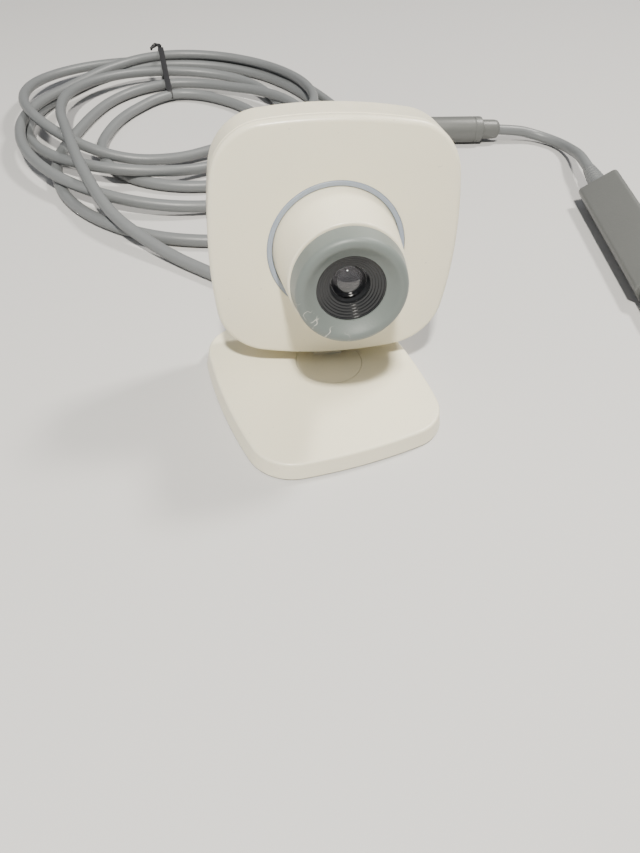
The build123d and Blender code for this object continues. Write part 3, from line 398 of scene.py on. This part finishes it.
def turned(name, profile, around=96, close=True):
    """Rings pulled and scaled from point to point of a profile of radii and heights about Z."""
    radius, height = profile[0]
    bpy.ops.object.select_all(action="DESELECT")
    bpy.ops.mesh.primitive_circle_add(vertices=around, radius=radius, location=(0, 0, height))
    piece = bpy.context.object
    piece.name = name
    bpy.ops.object.mode_set(mode="EDIT")
    bpy.ops.mesh.select_mode(type="EDGE")
    bpy.ops.mesh.select_all(action="SELECT")
    for (radius, height), (next_radius, next_height) in zip(profile, profile[1:]):
        bpy.ops.mesh.extrude_edges_move(
            TRANSFORM_OT_translate={"value": (0, 0, next_height - height)}
        )
        ratio = next_radius / radius
        bpy.ops.transform.resize(value=(ratio, ratio, 1), center_override=(0, 0, next_height))
    bpy.ops.mesh.select_all(action="DESELECT")
    bpy.ops.mesh.select_non_manifold()
    if close:
        bpy.ops.mesh.bridge_edge_loops()
    else:
        bpy.ops.mesh.fill_holes(sides=0)
    bpy.ops.mesh.select_all(action="SELECT")
    bpy.ops.mesh.normals_make_consistent(inside=False)
    bpy.ops.object.mode_set(mode="OBJECT")
    return piece


def ribbed_tail(name, start_radius, end_radius, length, rings, groove=0.0004):
    """A tapered sleeve with ring slots in it, from height 0 to its length."""
    profile = [(start_radius, 0)]
    pitch = length * 0.72 / rings
    for ring in range(rings):
        low = length * 0.14 + ring * pitch
        for share, cut in ((0, 0), (0.12, groove), (0.38, groove), (0.5, 0)):
            height = low + share * pitch
            taper = start_radius + (end_radius - start_radius) * height / length
            profile.append((taper - cut, height))
    profile += [(end_radius, length * 0.97), (end_radius - 0.0002, length)]
    return turned(name, profile, around=48, close=False)


cord_exit = Vector(from_foot[0])
relief_length = cord_exit.y - relief_start
towards_back = Matrix.Rotation(-pi / 2, 4, "X")
foot_relief = fix_in_place(
    ribbed_tail("cord_relief", 0.00235, 0.0023, relief_length, relief_rings, groove=0.0003),
    Matrix.Translation((cord_exit.x, relief_start, cord_exit.z)) @ towards_back,
)
smoothed(foot_relief)
foot_relief.data.materials.append(cord_jacket)
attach(foot_relief, "foot")

# ---- Ferrite sleeve ----------------------------------------------------------------------------
# A round noise filter near the plug: a ferrite core under a moulded skin, with a short collar where
# the cord goes on to the plug. The mould left a fine line round it near the collar end.
ferrite_radius = 0.0053
ferrite_length = 0.028
ferrite_collar = 0.008
ferrite_gap = 0.0066
ferrite_from = Vector((0.0915, 0.1360, 0.0053))
ferrite_towards = Vector(to_plug[3])
ferrite_run = (ferrite_towards - ferrite_from).normalized()
ferrite_tip = ferrite_towards - ferrite_run * (ferrite_gap + ferrite_collar)


def pointing(place, along, level=Vector((0, 0, 1))):
    """Axes at a place whose Z runs along a direction."""
    across = level.cross(along).normalized()
    axes = Matrix((across, along.cross(across), along)).transposed().to_4x4()
    return Matrix.Translation(place) @ axes


bore = cord_radius + 0.00005
ferrite_cover = fix_in_place(
    turned(
        "ferrite_cover",
        [
            (bore, -ferrite_length),
            (0.0034, -ferrite_length),
            (0.0041, -ferrite_length + 0.0002),
            (0.0048, -ferrite_length + 0.0007),
            (0.0052, -ferrite_length + 0.0014),
            (ferrite_radius, -ferrite_length + 0.0022),
            (ferrite_radius, -0.0040),
            (ferrite_radius - 0.00015, -0.0038),
            (ferrite_radius - 0.00015, -0.0036),
            (ferrite_radius, -0.0034),
            (ferrite_radius, -0.0010),
            (0.00515, -0.0004),
            (0.0048, -0.0001),
            (0.0043, 0),
            (0.0040, 0.0003),
            (0.0039, 0.0060),
            (0.0036, 0.0072),
            (0.0029, 0.0079),
            (bore, ferrite_collar),
        ],
    ),
    pointing(ferrite_tip, ferrite_run),
)
smoothed(ferrite_cover)
plug_plastic = moulded("plug_plastic", (0.115, 0.119, 0.115), 0.40, 1100, 0.00006)
ferrite_cover.data.materials.append(plug_plastic)
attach(ferrite_cover, "foot")
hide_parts("ferrite_sleeve")


def paint(material, *nodes):
    """Gives CAD pieces a finish."""
    for node in nodes:
        frame["nodes"][node].material_slots[0].material = material


ferrite_black = moulded("ferrite_black", (0.05, 0.05, 0.052), 0.5, 2600, 0.00005)
paint(ferrite_black, "ferrite_core")

# ---- Plug --------------------------------------------------------------------------------------
# A moulded two-shot plug: a flat body with rounded edges and a fine parting line, and a ribbed
# relief where the cord enters. It lies leaning on one long edge.
plug_corner = Vector((0.1384, 0.0639, 0))
plug_along = Matrix.Rotation(radians(-111.05), 3, "Z") @ Vector((1, 0, 0))
plug_roll = radians(38)
plug_size = (0.0154, 0.0086, 0.066)
plug_relief_length = 0.015
plug_relief_rings = 5
plug_side_round = 0.0017
plug_rear_round = 0.0011
plug_front_round = 0.0006
parting_line = 0.00012
parting_lift = 0.00008
plug_across = Vector((0, 0, 1)).cross(plug_along) * cos(plug_roll) + Vector((0, 0, sin(plug_roll)))
plug_through = plug_along.cross(plug_across)
plug_rear = plug_corner + plug_across * plug_size[0] / 2 + plug_through * plug_size[1] / 2
plug_axes = Matrix((plug_across, plug_through, plug_along)).transposed().to_4x4()
plug_place = Matrix.Translation(plug_rear) @ plug_axes


def edges_where(piece, chosen):
    """Selects the edges of the piece in edit mode for whose two ends the test holds."""
    bpy.ops.object.mode_set(mode="EDIT")
    bpy.ops.mesh.select_mode(type="EDGE")
    bpy.ops.mesh.select_all(action="DESELECT")
    bpy.ops.object.mode_set(mode="OBJECT")
    for edge in piece.data.edges:
        first, second = (piece.data.vertices[index].co for index in edge.vertices)
        edge.select = chosen(first, second)
    bpy.ops.object.mode_set(mode="EDIT")


bpy.ops.object.select_all(action="DESELECT")
bpy.ops.mesh.primitive_cube_add(size=1, location=(0, 0, plug_size[2] / 2), scale=plug_size)
plug_shell = bpy.context.object
plug_shell.name = "plug_shell"
bpy.ops.object.transform_apply()
edges_where(plug_shell, lambda first, second: abs(first.z - second.z) > plug_size[2] / 2)
bpy.ops.mesh.bevel(offset=plug_side_round, segments=8)
bpy.ops.object.mode_set(mode="OBJECT")
at_an_end = 1e-6
edges_where(plug_shell, lambda first, second: max(first.z, second.z) < at_an_end)
bpy.ops.mesh.bevel(offset=plug_rear_round, segments=5)
bpy.ops.object.mode_set(mode="OBJECT")
edges_where(plug_shell, lambda first, second: min(first.z, second.z) > plug_size[2] - at_an_end)
bpy.ops.mesh.bevel(offset=plug_front_round, segments=4)
bpy.ops.mesh.select_all(action="SELECT")
bpy.ops.mesh.bisect(plane_co=(0, 0, 0), plane_no=(0, 1, 0))
bpy.ops.mesh.bevel(offset=parting_line, segments=2)
bpy.ops.transform.shrink_fatten(value=-parting_lift)
bpy.ops.object.mode_set(mode="OBJECT")
fix_in_place(plug_shell, plug_place)
smoothed(plug_shell)
plug_shell.data.materials.append(plug_plastic)
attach(plug_shell, "foot")
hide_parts("plug_body")

plug_tail = fix_in_place(
    ribbed_tail("plug_tail", 0.0037, 0.0024, plug_relief_length, plug_relief_rings),
    plug_place @ Matrix.Rotation(pi, 4, "X"),
)
smoothed(plug_tail)
plug_tail.data.materials.append(cord_jacket)
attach(plug_tail, "foot")
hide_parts("plug_relief")

# The metal shell is folded and nickel-plated; the contacts are gold-plated strips on a white tongue.
def plated(name, colour, roughness, scratch=900):
    """Plated metal: bright, with faint drawn lines in its gloss."""
    made, shader, place = start_finish(name, colour, roughness, Metallic=1.0)
    lines = place.noise(scratch, detail=4.0)
    (lines * 0.18 + (roughness - 0.09)).feed(shader, "Roughness")
    lines.tint(shaded(colour, 0.92), shaded(colour, 1.05)).feed(shader, "Base Color")
    return made


nickel = plated("nickel", (0.62, 0.61, 0.58), 0.26)
paint(nickel, "usb_shell", "foot_screws", "shell_screws", "nose_screws", "board_screws", "tilt_pin")
paint(nickel, "swivel_clip", "friction_washers", "crystal", "foot_ballast")
paint(plated("gold", (0.83, 0.62, 0.28), 0.22), "usb_contacts")
white_insert = moulded("white_insert", (0.74, 0.74, 0.70), 0.45, 1400, 0.00003)
paint(white_insert, "usb_tongue", "wire_socket", "ring_leds")

# ---- Foot --------------------------------------------------------------------------------------
# A moulded cover in warm white, satin where it is touched, over a steel weight and a screwed plate
# with a rubber pad.
warm_white = (0.80, 0.755, 0.60)


def satin_shell(name, colour):
    """Satin moulding: fine spark-eroded grain, a breath of yellowing, specks of dust and handling."""
    made, shader, place = start_finish(
        name, colour, 0.36, Coat_Weight=0.12, Coat_Roughness=0.28, Subsurface_Weight=0.10,
        Subsurface_Scale=0.0015, Subsurface_Radius=(1.0, 0.8, 0.55),
    )
    clouds = place.noise(26, detail=3.0)
    grain = place.noise(3400, detail=2.0)
    smears = place.noise(140, detail=5.0)
    specks = place.noise(620, detail=1.0).ramp(0.775, 0.79)
    body = clouds.tint(shaded(colour, 0.975), (colour[0] * 1.02, colour[1] * 1.015, colour[2]))
    (specks * 0.3).over(body, (0.42, 0.39, 0.33)).feed(shader, "Base Color")
    (smears.ramp(0.42, 0.68) * 0.09 + grain * 0.05 + 0.30).feed(shader, "Roughness")
    grain.bump(0.000012).feed(shader, "Normal")
    return made


shell_white = satin_shell("shell_white", warm_white)
paint(shell_white, "foot_cover", "neck", "front_shell", "rear_shell", "nose_cone")
plate_black = moulded("plate_black", (0.045, 0.045, 0.048), 0.5, 1700, 0.00005)
paint(plate_black, "foot_plate", "focus_hub", "lens_mount")
paint(moulded("pad_rubber", (0.03, 0.03, 0.03), 0.75, 800, 0.0001), "foot_pad")
paint(cord_jacket, "strain_relief", "neck_lead")
paint(moulded("wire_red", (0.42, 0.05, 0.04), 0.4, 1500, 0.00003), "foot_wires", "head_wires")

# ---- Focus grip --------------------------------------------------------------------------------
# A soft grey rubber ring, pressed over the hub. Its face slopes in to the lens, and the crest has
# been scratched by keys and coins.
focus = next(joint for joint in frame["joints"] if joint["name"] == "focus_turn")
outward = Vector(focus["axis"]).normalized()
seam_to_joint = 0.021
head_centre = Vector(focus["pos_m"]) - outward * seam_to_joint
nose_frame = pointing(head_centre, outward)
crest_height = 0.0267
crest_centre = head_centre + outward * crest_height
head_right = outward.cross(Vector((0, 0, 1))).normalized() * -1
scuffed_side = (head_right.cross(outward) * 0.8 - head_right * 0.6).normalized()


def worn_rubber(name, colour):
    """Soft grey rubber with a dusty sheen and a few pale scuffs low on the left of its crest."""
    made, shader, place = start_finish(name, colour, 0.48, Sheen_Weight=0.12, Sheen_Roughness=0.5)
    clouds = place.noise(90, detail=4.0)
    grain = place.noise(2300, detail=2.0)
    # the thin lines where a coarse noise crosses its middle, kept to one corner of the crest
    streaks = place.noise(210, detail=2.5)
    lines = streaks.ramp(0.480, 0.496) * (1 - streaks.ramp(0.504, 0.520))
    crest = place.height_along(outward, crest_centre).ramp(-0.0014, -0.0002)
    corner = place.height_along(scuffed_side, crest_centre).ramp(0.0082, 0.0104)
    scuffs = lines * crest * corner * place.noise(420, detail=1.0).ramp(0.42, 0.52)
    body = clouds.tint(shaded(colour, 0.9), shaded(colour, 1.08))
    (scuffs * 0.75).over(body, (0.62, 0.60, 0.54)).feed(shader, "Base Color")
    (clouds * 0.15 + grain * 0.06 + 0.38).feed(shader, "Roughness")
    grain.bump(0.00002).feed(shader, "Normal")
    return made


paint(worn_rubber("grip_rubber", (0.145, 0.168, 0.158)), "focus_grip")

# ---- Light ring --------------------------------------------------------------------------------
# A frosted, blue-grey light pipe pressed in round the nose.
ring_plastic = moulded(
    "ring_plastic", (0.33, 0.38, 0.47), 0.24, 1800, 0.00001,
    Transmission_Weight=0.15, Coat_Weight=0.5, Coat_Roughness=0.1,
)
paint(ring_plastic, "light_ring")

# ---- Bezel and lens ----------------------------------------------------------------------------
# A glossy black funnel with fine steps that kill stray light, round a small domed glass lens in its
# black barrel.
bezel_radius = 0.009
bezel_floor = 0.0222
bezel_top = 0.0242
bezel_eye = 0.0047
bezel_steps = 5
bezel_lip = 0.0004
rim_inner = 0.0077
bezel_profile = [(bezel_radius, bezel_top), (bezel_radius, bezel_floor), (bezel_eye, bezel_floor)]
bezel_profile.append((bezel_eye, bezel_floor + bezel_lip))
step_out = (rim_inner - bezel_eye) / bezel_steps
step_up = (bezel_top - bezel_floor - bezel_lip) / bezel_steps
for step in range(bezel_steps):
    inner = bezel_eye + step * step_out
    level = bezel_floor + bezel_lip + step * step_up
    bezel_profile += [
        (inner + 0.78 * step_out, level + 0.06 * step_up),
        (inner + 0.86 * step_out, level + 0.82 * step_up),
        (inner + step_out, level + step_up),
    ]
bezel = fix_in_place(turned("stepped_bezel", bezel_profile, around=128), nose_frame)
smoothed(bezel, 25)
gloss_black = moulded("gloss_black", (0.016, 0.017, 0.019), 0.22, 1200, 0.000004, uneven=0.2)
bezel.data.materials.append(gloss_black)
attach(bezel, "focus_ring")
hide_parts("lens_bezel")
paint(gloss_black, "lens_barrel", "lens_retainer")

lens_rise = 0.0021
lens_edge = 0.004
lens_shoulder = 0.0208
lens_seat = 0.0190
lens_body = 0.0049
dome_sphere = (lens_edge**2 + lens_rise**2) / (2 * lens_rise)
lens_profile = [(lens_body, lens_seat), (lens_body, lens_shoulder)]
for share in (1, 0.96, 0.9, 0.82, 0.72, 0.6, 0.46, 0.3, 0.15, 0.04):
    radius = lens_edge * share
    drop = dome_sphere - (dome_sphere**2 - radius**2) ** 0.5
    lens_profile.append((radius, lens_shoulder + lens_rise - drop))
lens_dome = fix_in_place(turned("lens_dome", lens_profile, around=96, close=False), nose_frame)
smoothed(lens_dome, 40)
coated_glass, glass_shader, glass_place = start_finish(
    "coated_glass", (0.62, 0.63, 0.63), 0.02, Transmission_Weight=1.0, IOR=1.5,
    Coat_Weight=1.0, Coat_Roughness=0.02, Coat_IOR=1.6, Coat_Tint=(0.98, 0.97, 1.0, 1.0),
)
(glass_place.noise(300, detail=3.0).ramp(0.55, 0.8) * 0.05 + 0.015).feed(glass_shader, "Roughness")
lens_dome.data.materials.append(coated_glass)
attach(lens_dome, "lens_barrel")
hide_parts("front_lens")
paint(coated_glass, "rear_lens", "ir_filter")

# ---- Board -------------------------------------------------------------------------------------
# A green solder-masked board with its chips, behind the lens mount.
board_mask, board_shader, board_place = start_finish(
    "board_mask", (0.02, 0.16, 0.07), 0.3, Coat_Weight=0.4, Coat_Roughness=0.15
)
board_place.noise(700, detail=4.0).ramp(0.45, 0.6).tint(
    (0.02, 0.14, 0.06), (0.03, 0.20, 0.09)
).feed(board_shader, "Base Color")
paint(board_mask, "sensor_board")
chip_black = moulded("chip_black", (0.03, 0.03, 0.03), 0.55, 2600, 0.00003)
paint(chip_black, "controller_chip", "memory_chip", "image_sensor")

# ---- Table and lights --------------------------------------------------------------------------
table_side = 20
bpy.ops.object.select_all(action="DESELECT")
bpy.ops.mesh.primitive_plane_add(size=table_side)
table_top = bpy.context.object
table_top.name = "table_top"
table_finish = start_finish("table_finish", (0.55, 0.545, 0.54), 0.6)[0]
table_top.data.materials.append(table_finish)


def soft_light(name, place, aim, size, power, colour=(1, 1, 1)):
    bpy.ops.object.light_add(type="AREA", location=place)
    light = bpy.context.object
    light.name = name
    light.data.size = size
    light.data.energy = power
    light.data.color = colour
    light.rotation_euler = (Vector(aim) - Vector(place)).to_track_quat("-Z", "Y").to_euler()


middle = (0.0, 0.02, 0.03)
soft_light("key_light", (-0.17, -0.34, 0.78), middle, 0.06, 14.0, (1.0, 0.96, 0.87))
soft_light("side_light", (0.55, 0.20, 0.70), middle, 0.12, 8.0, (1.0, 0.96, 0.89))
soft_light("left_fill", (-0.8, 0.1, 0.6), middle, 0.6, 1.5, (0.97, 0.98, 1.0))
world = bpy.data.worlds.new("studio")
world.use_nodes = True
world.node_tree.nodes["Background"].inputs["Color"].default_value = (0.9, 0.93, 1.0, 1)
world.node_tree.nodes["Background"].inputs["Strength"].default_value = 0.22
bpy.context.scene.world = world
